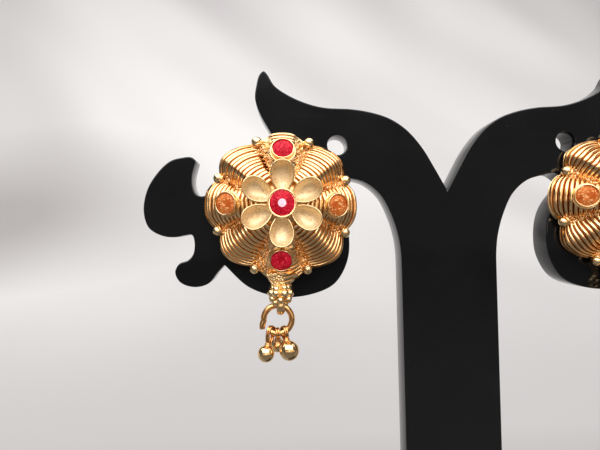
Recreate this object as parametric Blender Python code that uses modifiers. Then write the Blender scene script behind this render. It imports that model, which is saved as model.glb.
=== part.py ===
"""A pair of domed gold earrings with set stones, on a cut-out acrylic display stand.

The stand faces -Y and stands on the plane z = 0, with its middle at x = 0 and y = 0. Each earring is
modelled lying face up (x right, y up the dome, z out of its face) and turned upright when it is placed.
"""

import math

import bmesh
import bpy
from mathutils import Matrix, Vector

COLLECTION = "earring_pair_on_display_stand"

# Stand: metres
STAND_HEIGHT = 0.1000  # from the table to the hooks' tips
ARM_SPAN = 0.0938  # across the two outer lobes
SCROLL_HEIGHT = 0.0349  # from the round lobes' lowest edge to the hooks' tips
SHEET_THICKNESS = 0.0040
POST_WIDTH = 0.0150
SHOULDER = 0.0020  # how far the post stands past its tab on each side
HANG_HOLE_DIAMETER = 0.0031
BASE_WIDTH = 0.0620
BASE_DEPTH = 0.0420
BASE_THICKNESS = 0.0040
BASE_CORNER = 0.0040
SEAT_GAP = 0.0003  # between pieces that rest on or pass through each other

# Domed body of an earring: metres, and counts
DOME_RADIUS = 0.01125  # to the outermost point of a lobe
DOME_RISE = 0.0042  # from the rim wall's top to the crown
RIM_WALL = 0.0007  # height of the upright wall round the open back
SHELL_WALL = 0.0009
VALLEY_DEPTH = 0.00155  # between two lobes, at the rim
CREST_FALL = 1.5  # how a lobe's crest falls to the rim: 1 is an ellipse, more is closer to a cone
VALLEY_FALL = 3.3  # how a groove's floor falls to the rim, in the same measure
LOBES = 8
SIDES_OF_LOBE = 4  # flats across one lobe
RIDGES = 10  # wound ridges between the flower and the rim
RIDGE_HEIGHT = 0.00012
CROWN_FLAT = 12.0  # degrees down the crest line, the plain cap of the crown
RIDGES_START = 26.0  # degrees, where the ridges begin
VALLEY_START, VALLEY_FULL = 8.0, 45.0  # degrees, where the grooves begin and are at full depth
LOBE_ROUNDNESS = 1.1  # 1 is a half circle across a lobe, more is flatter
RIM_BALL_RADIUS = 0.00080

# Flower and settings
PETAL_REACH = 0.00615  # from the flower's middle to a petal's tip
PETAL_WIDTH = 0.0033
PETAL_CUP = 0.0012  # depth of a petal's bowl
PETAL_WALL = 0.00026
FLOWER_LIFT = 0.0013  # of the petals' edges above the dome's crown
CENTRE_STONE_RADIUS = 0.00177
OUTER_STONE_RADIUS = 0.00147
CENTRE_STONE_SIDES = 14
OUTER_STONE_SIDES = 10
STONE_GAP = 0.00010
COLLET_WALL = 0.00016
COLLET_DEPTH = 0.00075  # from a collet's edge to its floor
COLLET_RISE = 0.00115  # of an outer collet's edge above the lobe
SEAT_SHARE = 0.35  # how deep a stone's girdle sits in its collet, as a share of the depth
OUTER_STONE_REACH = 0.00770  # from the dome's middle to an outer stone
CENTRE_COLLET_LIFT = 0.0010  # of the centre collet's edge above the petals' edges

# Cluster, ring and drops under the dome
CLUSTER_RADIUS = 0.00130  # of the ball that carries the granules
CLUSTER_CLEARANCE = 0.00072  # between the rim and that ball
GRANULE_RADIUS = 0.00056
GRANULE_PROUD = 0.00014  # of a granule's middle beyond the ball
NECK_RADIUS = 0.00070  # where it meets the cluster
NECK_ROOT_RADIUS = 0.00165  # where it leaves the bottom lobe
NECK_ROOT = 0.0016  # from the rim to its upper end
NECK_FLATNESS = 0.65  # of its depth to its width
HANG_LIFT = 0.0020  # of the cluster and the ring above the dome's back
LUG_HALF_WIDTH = 0.00072
LUG_REACH = 0.00085  # of metal below the ring's wire
RING_RADIUS = 0.00208  # to the middle of the ring's wire
RING_WIRE_RADIUS = 0.00046
RING_GAP = 0.00016  # between the ring's wire and what it passes through
RING_CLEARANCE = 0.00011  # between the lowest granule's middle and the ring's topmost point
RING_CUT_START, RING_CUT_END = 212.0, 236.0  # degrees, the opening in the ring
RING_END_SPREAD = 0.0006  # how far the cut end stands out of round
RING_SHIFT = -0.0004  # sideways from under the cluster's middle
EYE_WIRE_RADIUS = 0.00024
EYE_SIDES = 10
NECK_OF_DROP = 0.00010  # between a drop's eye and its ball

# Post behind the dome
EAR_POST_RADIUS = 0.00055
EAR_POST_PAD_RADIUS = 0.0016
EAR_POST_PAD = 0.0005
EAR_POST_TAIL = 0.0025  # of the post behind the sheet

# Derived sizes
HALF_SPAN = ARM_SPAN / 2
SCROLL_FOOT = STAND_HEIGHT - SCROLL_HEIGHT
CROWN = RIM_WALL + DOME_RISE
PETAL_EDGE = CROWN + FLOWER_LIFT
CLUSTER_DROP = DOME_RADIUS + CLUSTER_RADIUS + CLUSTER_CLEARANCE  # from the dome's middle
CLUSTER_SHELL = CLUSTER_RADIUS + GRANULE_PROUD  # where the granules' middles lie
RING_TOP = CLUSTER_DROP + CLUSTER_SHELL + RING_CLEARANCE  # from the dome's middle, to the wire's
LUG_BOTTOM = RING_TOP + RING_WIRE_RADIUS + RING_GAP + LUG_REACH
EYE_RADIUS = (RING_WIRE_RADIUS + RING_GAP) / math.cos(math.pi / EYE_SIDES) + EYE_WIRE_RADIUS

# Left half of the sheet's outline. Each row is one point: out is a share of the half span from the
# middle, up a share of the scroll height above the round lobe's lowest edge. A stretch ends at a corner.
ARM_TOP = (  # from the notch over the arm, round the hook's tip and down to the hidden shoulder
    (0.000, 0.458), (0.045, 0.569), (0.076, 0.641), (0.111, 0.703), (0.144, 0.746), (0.190, 0.785),
    (0.247, 0.811), (0.313, 0.827), (0.404, 0.835), (0.465, 0.856), (0.525, 0.893), (0.569, 0.936),
    (0.592, 0.987), (0.603, 1.000), (0.617, 0.985), (0.628, 0.936), (0.633, 0.878), (0.619, 0.814),
    (0.592, 0.746), (0.551, 0.648),
)
OUTER_LOBE = (  # from the shoulder down to the bay, up to the horn and round both outer lobes
    (0.551, 0.648), (0.613, 0.649), (0.686, 0.606), (0.745, 0.537), (0.778, 0.476), (0.807, 0.450),
    (0.829, 0.458), (0.842, 0.493), (0.843, 0.539), (0.835, 0.582), (0.831, 0.607), (0.845, 0.622),
    (0.872, 0.621), (0.914, 0.605), (0.961, 0.543), (0.990, 0.472), (1.000, 0.385), (0.984, 0.315),
    (0.943, 0.280), (0.903, 0.272), (0.870, 0.279), (0.847, 0.281), (0.839, 0.258), (0.842, 0.199),
    (0.859, 0.171), (0.888, 0.156), (0.902, 0.119), (0.886, 0.075), (0.842, 0.053), (0.796, 0.066),
    (0.764, 0.115), (0.742, 0.146),
)
ROUND_LOBE = (  # under the dome and up its inner side to the hidden corner
    (0.742, 0.146), (0.730, 0.129), (0.664, 0.046), (0.561, 0.000), (0.459, 0.009), (0.383, 0.054),
    (0.340, 0.151), (0.332, 0.253), (0.345, 0.350), (0.380, 0.427), (0.425, 0.477),
)
# Underside of the arm down to the post: out is here a share of the way from the post's side to the
# hidden corner, up the same share as above.
ARCH = (
    (0.810, 0.527), (0.619, 0.518), (0.421, 0.496), (0.238, 0.439), (0.117, 0.356), (0.032, 0.257),
    (0.004, 0.176), (0.000, 0.106),
)

# Places on the sheet, in the same shares; the lean is in degrees, clockwise from the front.
# side, hang hole out, up, earring out, up, lean
SIDES = (
    ("left", -0.365, 0.667, -0.5515, 0.399, 1.9),
    ("right", 0.409, 0.671, 0.5840, 0.390, 5.5),
)

# Angles of the petals and of the outer stones, in degrees anticlockwise from x
PETAL_ANGLES = (28, 90, 152, 208, 270, 332)
OUTER_STONES = (  # name, angle, tint
    ("stone_right", 0, "amber"),
    ("stone_top", 90, "red"),
    ("stone_left", 180, "amber"),
    ("stone_bottom", 270, "red"),
)
# Rows of granules round the cluster: latitude in degrees, count, turn in degrees
GRANULE_ROWS = ((48, 5, 0), (8, 7, 12), (-34, 6, 30))
# Drops: name, ball's radius, how far the eye is drawn out, place on the ring, sideways lean and
# forward lean in degrees
DROPS = (
    ("drop_a", 0.00125, 0.0007, 242, -14, 12),
    ("drop_b", 0.00147, 0.0001, 298, 15, 22),
    ("drop_c", 0.00110, 0.0003, 270, 0, -38),
)


def material(name, colour, roughness, metallic=0.0, transmission=0.0):
    """A Principled BSDF with one colour."""
    made = bpy.data.materials.new(name)
    made.use_nodes = True
    shader = made.node_tree.nodes["Principled BSDF"]
    shader.inputs["Base Color"].default_value = (*colour, 1.0)
    shader.inputs["Roughness"].default_value = roughness
    shader.inputs["Metallic"].default_value = metallic
    shader.inputs["Transmission Weight"].default_value = transmission
    return made


def linked(name, data, collection):
    """A new object in a collection."""
    made = bpy.data.objects.new(name, data)
    collection.objects.link(made)
    return made


def settled(obj):
    """The object's evaluated shape as a welded mesh of its own; the object is removed."""
    bpy.context.view_layer.update()
    evaluated = obj.evaluated_get(bpy.context.evaluated_depsgraph_get())
    mesh = bpy.data.meshes.new_from_object(evaluated)
    mesh.transform(obj.matrix_world)
    shape = bmesh.new()
    shape.from_mesh(mesh)
    bmesh.ops.remove_doubles(shape, verts=shape.verts, dist=1e-7)
    shape.to_mesh(mesh)
    shape.free()
    mesh.name = obj.name
    bpy.data.objects.remove(obj)
    return mesh


def turned(name, profile, steps, collection):
    """A solid of revolution about z. The profile's (radius, z) points run down its outer side."""
    mesh = bpy.data.meshes.new(name)
    edges = [(i, i + 1) for i in range(len(profile) - 1)]
    mesh.from_pydata([(radius, 0.0, z) for radius, z in profile], edges, [])
    obj = linked(name, mesh, collection)
    screw = obj.modifiers.new("turn", "SCREW")
    screw.axis = "Z"
    screw.steps = steps
    screw.render_steps = steps
    screw.use_merge_vertices = True
    screw.merge_threshold = 1e-6
    return obj


def ball(name, radius, place, segments, rings, collection, scale=(1.0, 1.0, 1.0)):
    """A sphere, or an ellipsoid, made of a UV sphere."""
    shape = bmesh.new()
    bmesh.ops.create_uvsphere(shape, u_segments=segments, v_segments=rings, radius=radius)
    mesh = bpy.data.meshes.new(name)
    bmesh.ops.scale(shape, verts=shape.verts, vec=scale)
    bmesh.ops.translate(shape, verts=shape.verts, vec=place)
    shape.to_mesh(mesh)
    shape.free()
    return linked(name, mesh, collection)


def wire(name, points, radius, collection, closed=False):
    """A round wire with six sides along the points."""
    curve = bpy.data.curves.new(name, "CURVE")
    curve.dimensions = "3D"
    curve.bevel_depth = radius
    curve.bevel_resolution = 1
    curve.use_fill_caps = True
    spline = curve.splines.new("POLY")
    spline.points.add(len(points) - 1)
    for point, place in zip(spline.points, points):
        point.co = (*place, 1.0)
    spline.use_cyclic_u = closed
    return linked(name, curve, collection)


def smoothed(mesh, degrees=40):
    """Shades a mesh smooth except over sharp edges."""
    mesh.shade_smooth()
    mesh.set_sharp_from_angle(angle=math.radians(degrees))
    return mesh


def joined(base, pieces, cutters=()):
    """The base united with the pieces and cut by the cutters, as one mesh; all of them are removed."""
    for operation, tools in (("UNION", pieces), ("DIFFERENCE", cutters)):
        for tool in tools:
            step = base.modifiers.new(operation, "BOOLEAN")
            step.operation = operation
            step.object = tool
            step.solver = "EXACT"
    mesh = settled(base)
    for tool in (*pieces, *cutters):
        bpy.data.objects.remove(tool)
    return mesh


# Stand


def on_sheet(out, up):
    """A place on the sheet, from its shares of the half span and of the scroll height."""
    return out * HALF_SPAN, SCROLL_FOOT + up * SCROLL_HEIGHT


def smooth_stretch(points):
    """Rows of (x, z, corner) for a smooth stretch whose two ends are corners."""
    last = len(points) - 1
    return [(x, z, i in (0, last)) for i, (x, z) in enumerate(points)]


def half_outline():
    """The left half of the sheet's outline, from the notch to the tab's foot; x counts outwards."""
    post_side = POST_WIDTH / 2
    corner_out = ROUND_LOBE[-1][0] * HALF_SPAN
    arch = [on_sheet(*ROUND_LOBE[-1])]
    for out, up in ARCH:
        arch.append((post_side + out * (corner_out - post_side), on_sheet(0, up)[1]))
    rows = []
    for stretch in (ARM_TOP, OUTER_LOBE, ROUND_LOBE):
        rows += smooth_stretch([on_sheet(*row) for row in stretch])[:-1]
    rows += smooth_stretch(arch)
    seat = BASE_THICKNESS + SEAT_GAP
    tab_side = post_side - SHOULDER
    rows += [(post_side, seat, True), (tab_side, seat, True), (tab_side, SEAT_GAP, True)]
    return rows


def add_bezier(curve, rows):
    """A closed outline through (x, z, corner) rows, smooth where the row is no corner."""
    spline = curve.splines.new("BEZIER")
    spline.bezier_points.add(len(rows) - 1)
    for point, (x, z, corner) in zip(spline.bezier_points, rows):
        point.co = (x, z, 0.0)
        point.handle_left_type = point.handle_right_type = "VECTOR" if corner else "AUTO"
    spline.use_cyclic_u = True


def add_circle(curve, x, z, radius, steps=16):
    """A round hole in a flat outline."""
    add_polygon(
        curve,
        [
            (x + radius * math.cos(math.tau * i / steps), z + radius * math.sin(math.tau * i / steps))
            for i in range(steps)
        ],
    )


def add_polygon(curve, points):
    """A closed outline of straight sides."""
    spline = curve.splines.new("POLY")
    spline.points.add(len(points) - 1)
    for point, (x, z) in zip(spline.points, points):
        point.co = (x, z, 0.0, 1.0)
    spline.use_cyclic_u = True


def flat_outline(name, thickness):
    """An empty flat curve that is filled and extruded to a thickness."""
    curve = bpy.data.curves.new(name, "CURVE")
    curve.dimensions = "2D"
    curve.fill_mode = "BOTH"
    curve.extrude = thickness / 2
    return curve


def add_stand_panel(collection):
    curve = flat_outline("stand_panel", SHEET_THICKNESS)
    curve.resolution_u = 2
    left = [(-x, z, corner) for x, z, corner in half_outline()]
    right = [(-x, z, corner) for x, z, corner in reversed(left[1:])]
    add_bezier(curve, left + right)
    ear_hole_radius = EAR_POST_RADIUS + SEAT_GAP
    for _, hole_out, hole_up, ear_out, ear_up, _ in SIDES:
        add_circle(curve, *on_sheet(hole_out, hole_up), HANG_HOLE_DIAMETER / 2)
        add_circle(curve, *on_sheet(ear_out, ear_up), ear_hole_radius)
    panel = linked("stand_panel", curve, collection)
    panel.rotation_euler = (math.radians(90), 0.0, 0.0)
    curve.materials.append(material("stand_panel acrylic", (0.012, 0.012, 0.014), 0.12))


def add_stand_base(collection):
    curve = flat_outline("stand_base", BASE_THICKNESS)
    rounding = []
    steps = 6
    for quarter, (side_x, side_y) in enumerate(((1, 1), (-1, 1), (-1, -1), (1, -1))):
        middle_x = side_x * (BASE_WIDTH / 2 - BASE_CORNER)
        middle_y = side_y * (BASE_DEPTH / 2 - BASE_CORNER)
        for i in range(steps + 1):
            turn = math.radians(90) * (quarter + i / steps)
            rounding.append(
                (middle_x + BASE_CORNER * math.cos(turn), middle_y + BASE_CORNER * math.sin(turn))
            )
    add_polygon(curve, rounding)
    slot_x = POST_WIDTH / 2 - SHOULDER + SEAT_GAP
    slot_y = SHEET_THICKNESS / 2 + SEAT_GAP
    add_polygon(curve, [(slot_x, slot_y), (-slot_x, slot_y), (-slot_x, -slot_y), (slot_x, -slot_y)])
    base = linked("stand_base", curve, collection)
    base.location.z = BASE_THICKNESS / 2
    curve.materials.append(material("stand_base acrylic", (0.012, 0.012, 0.014), 0.12))


# Earring body


def fade_in(value, start, end):
    """A smooth step from 0 at start to 1 at end."""
    share = min(max((value - start) / (end - start), 0.0), 1.0)
    return share * share * (3 - 2 * share)


def valley_share(angle, turn):
    """How deep the groove between two lobes is at a turn about the axis: 0 on a crest, 1 between."""
    across = (turn * LOBES / math.tau + 0.5) % 1.0 * 2 - 1
    edge = math.sqrt(LOBE_ROUNDNESS**2 - 1)
    share = 1 - (math.sqrt(LOBE_ROUNDNESS**2 - across**2) - edge) / (LOBE_ROUNDNESS - edge)
    return share * fade_in(angle, math.radians(VALLEY_START), math.radians(VALLEY_FULL))


def dome_point(angle, share=0.0, inset=0.0):
    """Radius and height on the dome, at an angle from its axis to its rim.

    The share is 0 on a crest and 1 in a groove; the inner side is inset by the wall, down to z = 0.
    """
    reach = DOME_RADIUS - VALLEY_DEPTH * share - inset
    fall = CREST_FALL + (VALLEY_FALL - CREST_FALL) * share
    foot = 0.0 if inset else RIM_WALL
    return Vector((reach * math.sin(angle), foot + (CROWN - inset - foot) * math.cos(angle) ** fall))


def dome_normal(angle, share=0.0):
    """Outward direction of the dome's surface, as radius and height."""
    step = math.radians(0.5)
    along = dome_point(min(angle + step, math.pi / 2), share) - dome_point(angle - step, share)
    return Vector((-along.y, along.x)).normalized()


def even_angles(first, count):
    """Angles from first to the rim whose steps are equally long on the crest line."""
    samples = [first + (math.pi / 2 - first) * i / 400 for i in range(401)]
    lengths = [0.0]
    for low, high in zip(samples, samples[1:]):
        lengths.append(lengths[-1] + (dome_point(high) - dome_point(low)).length)
    angles = []
    for step in range(count + 1):
        wanted = lengths[-1] * step / count
        nearest = min(range(len(lengths)), key=lambda i: abs(lengths[i] - wanted))
        angles.append(samples[nearest])
    return angles


def dome_loop(angle, lift, inset):
    """The points round the dome at an angle, lifted off its surface."""
    columns = LOBES * SIDES_OF_LOBE
    points = []
    for column in range(columns):
        turn = math.tau * column / columns
        share = valley_share(angle, turn)
        radius, height = dome_point(angle, share, inset) + lift * dome_normal(angle, share)
        points.append((radius * math.cos(turn), radius * math.sin(turn), height))
    return points


def dome_shell(collection):
    """The lobed shell: ridged outside, plain inside, with an upright wall round its open back."""
    loops = [dome_loop(math.radians(CROWN_FLAT), 0.0, 0.0)]
    for i, angle in enumerate(even_angles(math.radians(RIDGES_START), 2 * RIDGES)):
        loops.append(dome_loop(angle, RIDGE_HEIGHT * (i % 2), 0.0))
    loops.append([(x, y, 0.0) for x, y, _ in loops[-1]])
    for degrees in (90, 66, 42, CROWN_FLAT):
        loops.append(dome_loop(math.radians(degrees), 0.0, SHELL_WALL))
    columns = len(loops[0])
    points = [point for loop in loops for point in loop]
    outer_pole, inner_pole = len(points), len(points) + 1
    points += [(0.0, 0.0, CROWN), (0.0, 0.0, CROWN - SHELL_WALL)]
    faces = []
    for column in range(columns):
        after = (column + 1) % columns
        faces.append((outer_pole, column, after))
        last = (len(loops) - 1) * columns
        faces.append((inner_pole, last + after, last + column))
        for row in range(len(loops) - 1):
            near, far = row * columns, (row + 1) * columns
            faces.append((near + column, far + column, far + after, near + after))
    mesh = bpy.data.meshes.new("ear_body")
    mesh.from_pydata(points, [], faces)
    return linked("ear_body", mesh, collection)


def cup_profile(stone_radius, edge):
    """Floor, inner wall and edge of a cup for a stone, with its edge at a height."""
    inner = stone_radius + STONE_GAP
    floor = edge - COLLET_DEPTH
    return [(0.0, floor), (inner, floor), (inner, edge), (inner + COLLET_WALL, edge)]


def outer_collet_profile():
    """A cup whose wall runs straight down into the lobe."""
    foot = -0.85 * SHELL_WALL
    foot_radius = OUTER_STONE_RADIUS + STONE_GAP
    return cup_profile(OUTER_STONE_RADIUS, COLLET_RISE) + [(foot_radius, foot), (0.0, foot)]


def centre_collet_profile():
    """A cup on a narrower boss that stands on the dome's crown."""
    edge = PETAL_EDGE + CENTRE_COLLET_LIFT
    under = edge - COLLET_DEPTH - COLLET_WALL
    outer = CENTRE_STONE_RADIUS + STONE_GAP + COLLET_WALL
    foot = CROWN - SHELL_WALL / 2
    return cup_profile(CENTRE_STONE_RADIUS, edge) + [
        (outer, under),
        (CENTRE_STONE_RADIUS, under - COLLET_WALL),
        (CENTRE_STONE_RADIUS, foot),
        (0.0, foot),
    ]


def outer_stone_place(degrees):
    """Turns what is modelled on the axis to the seat of an outer stone, square to the lobe."""
    angle = math.asin(OUTER_STONE_REACH / DOME_RADIUS)
    height = dome_point(angle).y
    normal = dome_normal(angle)
    tilt = math.atan2(normal.x, normal.y)
    spin = Matrix.Rotation(math.radians(degrees), 4, "Z")
    return spin @ Matrix.Translation((OUTER_STONE_REACH, 0, height)) @ Matrix.Rotation(tilt, 4, "Y")


def petal(name, degrees, collection):
    """A spoon-shaped cup that runs out from the flower's middle."""
    root = CENTRE_STONE_RADIUS - STONE_GAP
    shape = bmesh.new()
    bmesh.ops.create_uvsphere(shape, u_segments=10, v_segments=6, radius=1.0)
    upper = [v for v in shape.verts if v.co.z > 1e-4]
    bmesh.ops.delete(shape, geom=upper, context="VERTS")
    half_length = (PETAL_REACH - root) / 2
    for vertex in shape.verts:
        along = vertex.co.x
        vertex.co.x = root + half_length * (1 + along)
        vertex.co.y *= (PETAL_WIDTH / 2 - PETAL_WALL) * (1 + 0.10 * along)
        vertex.co.z = PETAL_EDGE + vertex.co.z * PETAL_CUP
    bmesh.ops.rotate(shape, verts=shape.verts, matrix=Matrix.Rotation(math.radians(degrees), 3, "Z"))
    mesh = bpy.data.meshes.new(name)
    shape.to_mesh(mesh)
    shape.free()
    obj = linked(name, mesh, collection)
    shell = obj.modifiers.new("wall", "SOLIDIFY")
    shell.thickness = PETAL_WALL
    shell.offset = 1.0
    shell.use_even_offset = True
    return obj


def ring_points(segments, start, end):
    """Points round the ring's wire from one angle to the other, in degrees, about the ring's middle."""
    points = []
    for i in range(segments + 1):
        turn = math.radians(start + (end - start) * i / segments)
        points.append(Vector((RING_RADIUS * math.cos(turn), RING_RADIUS * math.sin(turn), 0.0)))
    return points


def ring_passage(collection):
    """The way that the ring's wire needs through the lug, as a closed wire with clearance."""
    middle = Vector((RING_SHIFT, -RING_TOP - RING_RADIUS, HANG_LIFT))
    points = [middle + point for point in ring_points(20, 0, 360)[:-1]]
    tube = wire("ring_passage", points, RING_WIRE_RADIUS + RING_GAP, collection, closed=True)
    return linked("ring_passage", settled(tube), collection)


def cluster_pieces(collection):
    """Neck, ball, granules and lug under the dome."""
    middle = Vector((0.0, -CLUSTER_DROP, HANG_LIFT))
    root = CLUSTER_DROP - DOME_RADIUS + NECK_ROOT
    profile = [(0.0, root), (NECK_ROOT_RADIUS, root), (NECK_RADIUS, 0.0), (0.0, 0.0)]
    neck = turned("neck", profile, 10, collection)
    flatten = Matrix.Diagonal((1.0, NECK_FLATNESS, 1.0, 1.0))
    neck.matrix_world = Matrix.Translation(middle) @ Matrix.Rotation(math.radians(-90), 4, "X") @ flatten
    pieces = [neck, ball("cluster", CLUSTER_RADIUS, middle, 10, 6, collection)]
    for latitude, count, turn in GRANULE_ROWS:
        for i in range(count):
            around = math.radians(turn + 360 * i / count)
            rise = math.radians(latitude)
            level = math.cos(rise)
            way = Vector((math.cos(around) * level, math.sin(rise), math.sin(around) * level))
            place = middle + way * CLUSTER_SHELL
            pieces.append(ball("granule", GRANULE_RADIUS, place, 6, 4, collection))
    top, bottom = CLUSTER_DROP, LUG_BOTTOM
    half = (bottom - top) / 2
    place = Vector((0.0, -(top + bottom) / 2, HANG_LIFT))
    depth = RING_WIRE_RADIUS + RING_GAP + LUG_HALF_WIDTH * 0.7
    scale = (LUG_HALF_WIDTH / half, 1.0, depth / half)
    pieces.append(ball("lug", half, place, 10, 7, collection, scale))
    return pieces


def ear_body_mesh(collection):
    """Dome, rim balls, flower, collets, cluster and lug: all soldered to one solid."""
    shell = dome_shell(collection)
    pieces = []
    for i in range(LOBES):
        turn = math.tau * (i + 0.5) / LOBES
        reach = DOME_RADIUS - VALLEY_DEPTH + 0.8 * RIM_BALL_RADIUS
        place = (reach * math.cos(turn), reach * math.sin(turn), 1.35 * RIM_BALL_RADIUS)
        pieces.append(ball("rim_ball", RIM_BALL_RADIUS, place, 7, 5, collection))
    for name, degrees, _ in OUTER_STONES:
        collet = turned(name + "_collet", outer_collet_profile(), OUTER_STONE_SIDES, collection)
        collet.matrix_world = outer_stone_place(degrees)
        pieces.append(collet)
    for degrees in PETAL_ANGLES:
        pieces.append(petal("petal", degrees, collection))
    pieces.append(turned("centre_collet", centre_collet_profile(), CENTRE_STONE_SIDES, collection))
    pieces += cluster_pieces(collection)
    return smoothed(joined(shell, pieces, [ring_passage(collection)]), 35)


def stone_mesh(name, radius, table_share, steps, look, collection):
    """A cut stone with a flat table, a crown of facets, a girdle and a short pavilion."""
    crown = 0.32 * radius
    profile = [
        (0.0, crown), (table_share * radius, crown), (radius, 0.04 * radius), (radius, -0.04 * radius),
        (0.45 * radius, -COLLET_DEPTH * 0.5), (0.0, -COLLET_DEPTH * 0.5),
    ]
    mesh = settled(turned(name, profile, steps, collection))
    mesh.materials.append(look)
    return mesh


def jump_ring_mesh(look, collection):
    """The open ring, whose one end stands out of round."""
    points = ring_points(15, RING_CUT_START, RING_CUT_END - 360)
    points[0] *= 1 + RING_END_SPREAD / RING_RADIUS
    mesh = settled(wire("jump_ring", points, RING_WIRE_RADIUS, collection))
    mesh.materials.append(look)
    return smoothed(mesh)


def drop_mesh(name, radius, drawn, look, collection):
    """A ball on a drawn-out eye; the ring's wire is at the origin and the ball hangs down y."""
    points = []
    for i in range(EYE_SIDES):
        turn = math.tau * i / EYE_SIDES
        lower = drawn if math.cos(turn) < 0 else 0.0
        points.append((0.0, EYE_RADIUS * math.cos(turn) - lower, EYE_RADIUS * math.sin(turn)))
    eye = wire(name, points, EYE_WIRE_RADIUS, collection, closed=True)
    base = linked(name, settled(eye), collection)
    eye_foot = EYE_RADIUS + drawn
    reach = eye_foot + EYE_WIRE_RADIUS + NECK_OF_DROP + radius
    place = Vector((0.0, -reach, 0.0))
    neck = turned(
        "drop_neck",
        [
            (0.0, eye_foot), (1.3 * EYE_WIRE_RADIUS, eye_foot), (0.45 * radius, reach - 0.8 * radius),
            (0.0, reach - 0.8 * radius),
        ][::-1],
        6,
        collection,
    )
    neck.matrix_world = Matrix.Rotation(math.radians(90), 4, "X")
    mesh = joined(base, [ball("drop_ball", radius, place, 10, 7, collection), neck])
    mesh.materials.append(look)
    return smoothed(mesh)


def ear_post_mesh(look, collection):
    """A rod with a round pad, from inside the crown to behind the sheet."""
    top = CROWN - SHELL_WALL - SEAT_GAP
    tail = -(SEAT_GAP + SHEET_THICKNESS + EAR_POST_TAIL)
    profile = [
        (0.0, top), (EAR_POST_PAD_RADIUS, top), (EAR_POST_PAD_RADIUS, top - EAR_POST_PAD),
        (EAR_POST_RADIUS, top - EAR_POST_PAD), (EAR_POST_RADIUS, tail), (0.0, tail),
    ]
    mesh = settled(turned("ear_post", profile, 10, collection))
    mesh.materials.append(look)
    return smoothed(mesh)


def add_empty(name, place, turn, collection):
    """An empty that carries pieces and is no piece itself."""
    made = linked(name, None, collection)
    made.location = place
    made.rotation_euler = turn
    return made


def add_piece(name, mesh, parent, collection, place=None):
    """A piece with its own mesh under an empty; place is its matrix there."""
    made = linked(name, mesh, collection)
    made.parent = parent
    if place is not None:
        made.matrix_local = place
    return made


def add_earrings(collection):
    gold = material("ear_body gold", (0.83, 0.55, 0.20), 0.25, metallic=1.0)
    ring_gold = material("jump_ring gold", (0.80, 0.56, 0.25), 0.18, metallic=1.0)
    drop_gold = material("drop gold", (0.86, 0.62, 0.30), 0.12, metallic=1.0)
    post_metal = material("ear_post metal", (0.75, 0.60, 0.35), 0.30, metallic=1.0)
    tints = {
        "red": material("red stone", (0.55, 0.01, 0.03), 0.05, transmission=0.3),
        "amber": material("amber stone", (0.75, 0.22, 0.03), 0.05, transmission=0.3),
    }
    body = ear_body_mesh(collection)
    body.materials.clear()
    body.materials.append(gold)
    centre = stone_mesh(
        "stone_centre", CENTRE_STONE_RADIUS, 0.34, CENTRE_STONE_SIDES, tints["red"], collection
    )
    outer = {
        tint: stone_mesh(
            tint + "_stone", OUTER_STONE_RADIUS, 0.55, OUTER_STONE_SIDES, tints[tint], collection
        )
        for tint in ("amber", "red")
    }
    ring = jump_ring_mesh(ring_gold, collection)
    post = ear_post_mesh(post_metal, collection)
    drops = {
        name: drop_mesh(name, radius, drawn, drop_gold, collection) for name, radius, drawn, *_ in DROPS
    }
    face = -(SHEET_THICKNESS / 2 + SEAT_GAP)
    upright = math.radians(90)
    for side, _, _, out, up, lean in SIDES:
        x, z = on_sheet(out, up)
        turn = (upright, math.radians(lean), 0.0)
        earring = add_empty("earring_" + side, (x, face, z), turn, collection)
        add_piece("ear_body_" + side, body, earring, collection)
        add_piece("ear_post_" + side, post, earring, collection)
        seat = Matrix.Translation((0, 0, PETAL_EDGE + CENTRE_COLLET_LIFT - COLLET_DEPTH * SEAT_SHARE))
        add_piece("stone_centre_" + side, centre, earring, collection, seat)
        seat = Matrix.Translation((0, 0, COLLET_RISE - COLLET_DEPTH * SEAT_SHARE))
        for name, degrees, tint in OUTER_STONES:
            place = outer_stone_place(degrees) @ seat
            add_piece(name + "_" + side, outer[tint], earring, collection, place)
        ring_middle = Matrix.Translation((RING_SHIFT, -RING_TOP - RING_RADIUS, HANG_LIFT))
        add_piece("jump_ring_" + side, ring, earring, collection, ring_middle)
        for name, _, _, at, sideways, forward in DROPS:
            radians = math.radians(at)
            wire_x = RING_RADIUS * math.cos(radians)
            wire_y = RING_RADIUS * math.sin(radians)
            hang = Matrix.Translation((wire_x, wire_y, 0.0))
            # The drops hang plumb however the dome leans.
            swing = Matrix.Rotation(math.radians(sideways + lean), 4, "Z")
            swing = swing @ Matrix.Rotation(math.radians(-forward), 4, "X")
            add_piece(name + "_" + side, drops[name], earring, collection, ring_middle @ hang @ swing)


def main():
    for obj in list(bpy.data.objects):
        bpy.data.objects.remove(obj)
    collection = bpy.data.collections.new(COLLECTION)
    bpy.context.scene.collection.children.link(collection)
    add_stand_panel(collection)
    add_stand_base(collection)
    add_earrings(collection)
    bpy.context.view_layer.update()


main()
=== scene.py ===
"""The looks of a pair of domed gold earrings on a cut-out black display stand."""

import math
import random

import bmesh
import bpy
import numpy as np
from mathutils import Matrix, Vector
from mathutils.geometry import tessellate_polygon


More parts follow.
